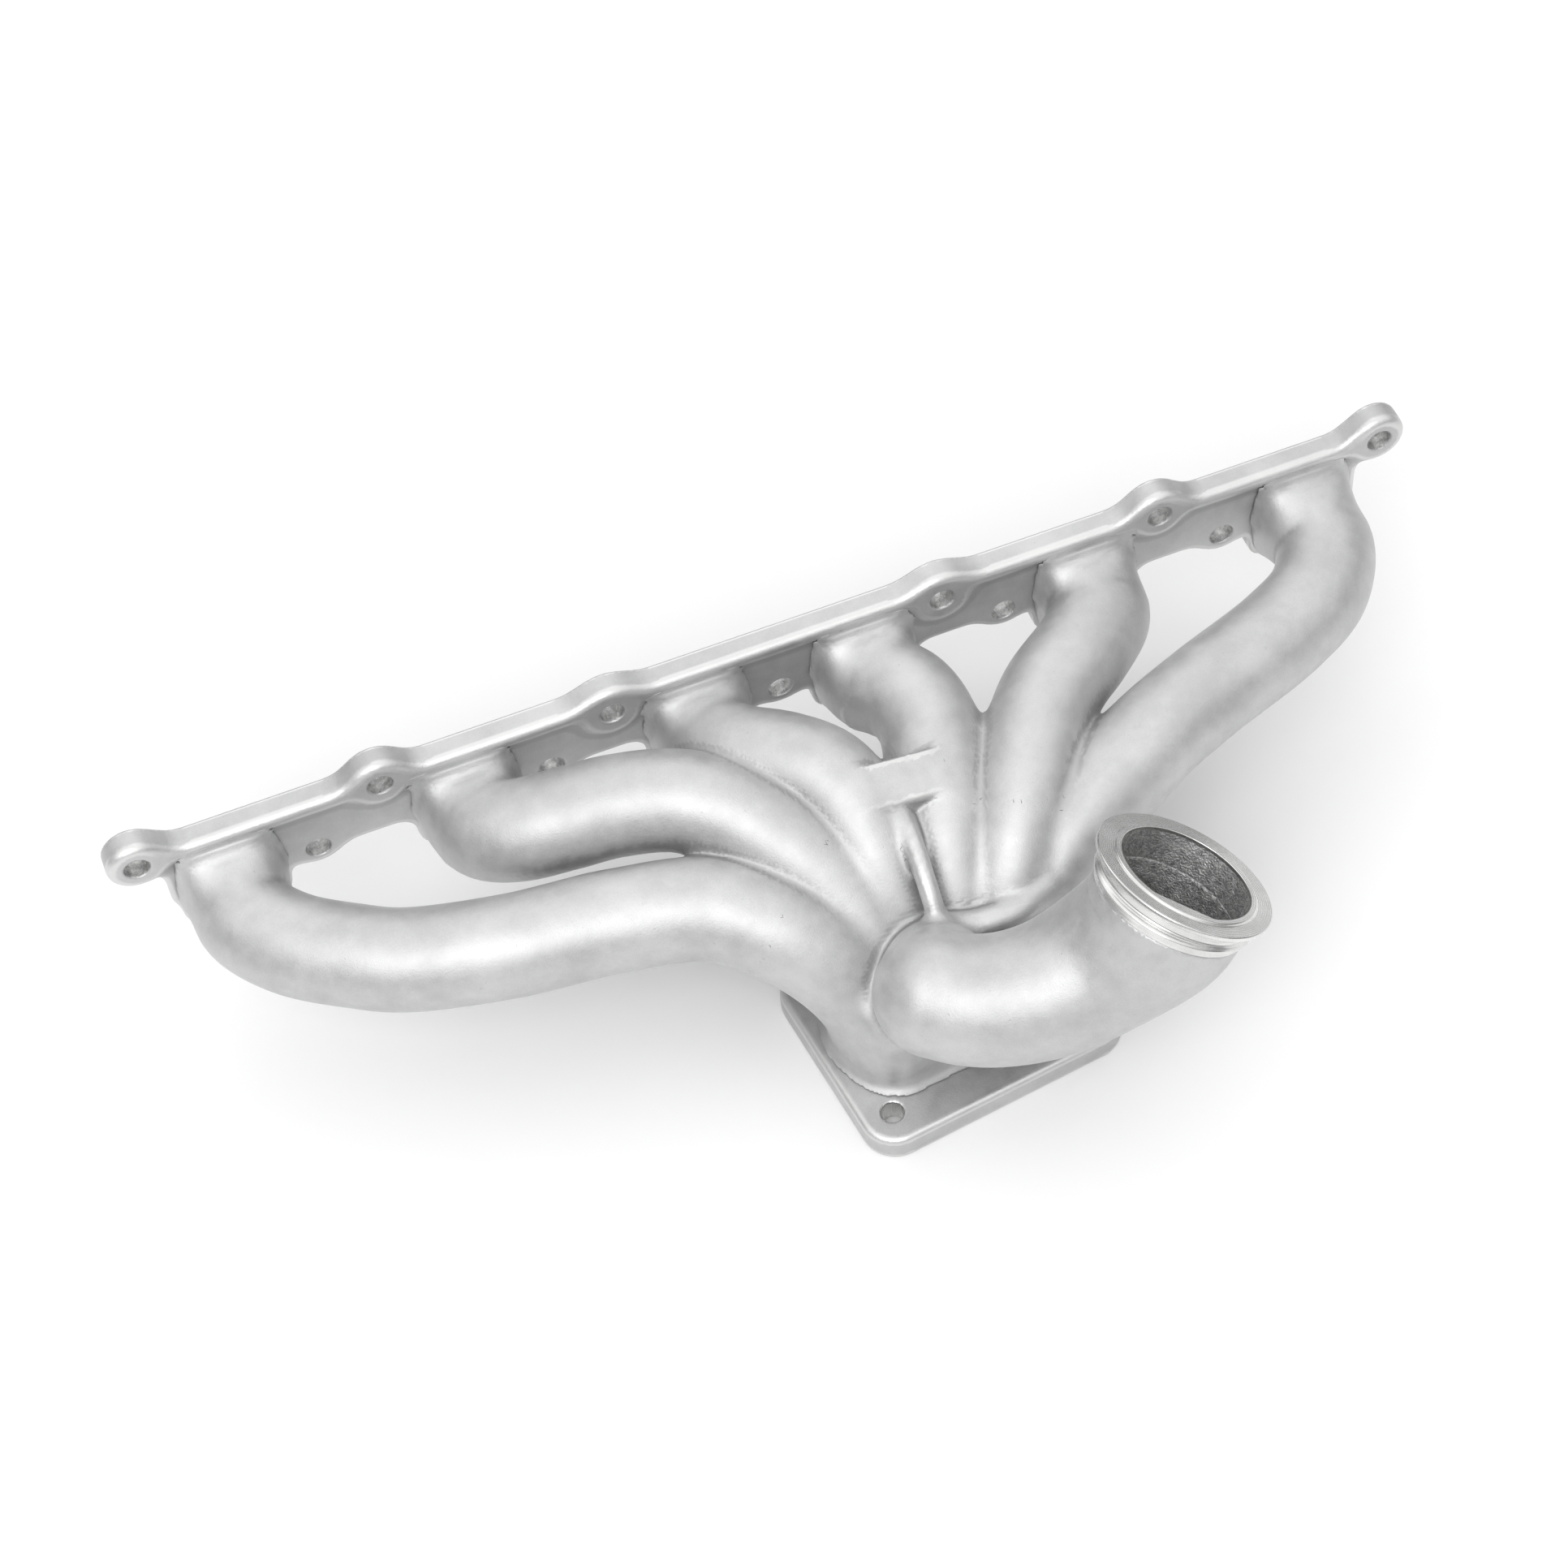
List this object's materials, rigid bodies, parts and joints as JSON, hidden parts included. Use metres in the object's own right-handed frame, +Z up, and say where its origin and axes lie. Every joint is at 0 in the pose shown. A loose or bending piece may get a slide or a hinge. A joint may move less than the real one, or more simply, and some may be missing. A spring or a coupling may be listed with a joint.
{
  "type": "exhaust manifold",
  "caption": "Turbo exhaust manifold for an inline engine: scalloped head flange, curved runners, twin-scroll turbo flange and a flanged wastegate pipe.",
  "frame": {"origin": "middle of the head flange's machined face, between the two middle ports", "axes": "+X along the head flange towards cylinder 1, +Y into the cylinder head, +Z up, away from the turbo flange's face"},
  "size_m": [0.585, 0.2285, 0.142],
  "materials": {
    "cast_steel": "bare investment-cast stainless steel, bead blasted to a fine even matt grain",
    "machined_steel": "the same casting with milled or turned bright faces"
  },
  "bodies": {
    "root": {"head_flange": "machined_steel", "port_neck_1": "cast_steel", "port_neck_2": "cast_steel", "port_neck_3": "cast_steel", "port_neck_4": "cast_steel", "port_neck_5": "cast_steel", "port_neck_6": "cast_steel", "runner_1": "cast_steel", "runner_2": "cast_steel", "runner_3": "cast_steel", "runner_4": "cast_steel", "runner_5": "cast_steel", "runner_6": "cast_steel", "collector_front": "cast_steel", "collector_rear": "cast_steel", "scroll_divider": "cast_steel", "turbo_flange": "machined_steel", "wastegate_pipe": "cast_steel", "wastegate_flange": "machined_steel", "bridge_plate": "cast_steel", "divider_rib": "cast_steel"}
  },
  "joints": []
}
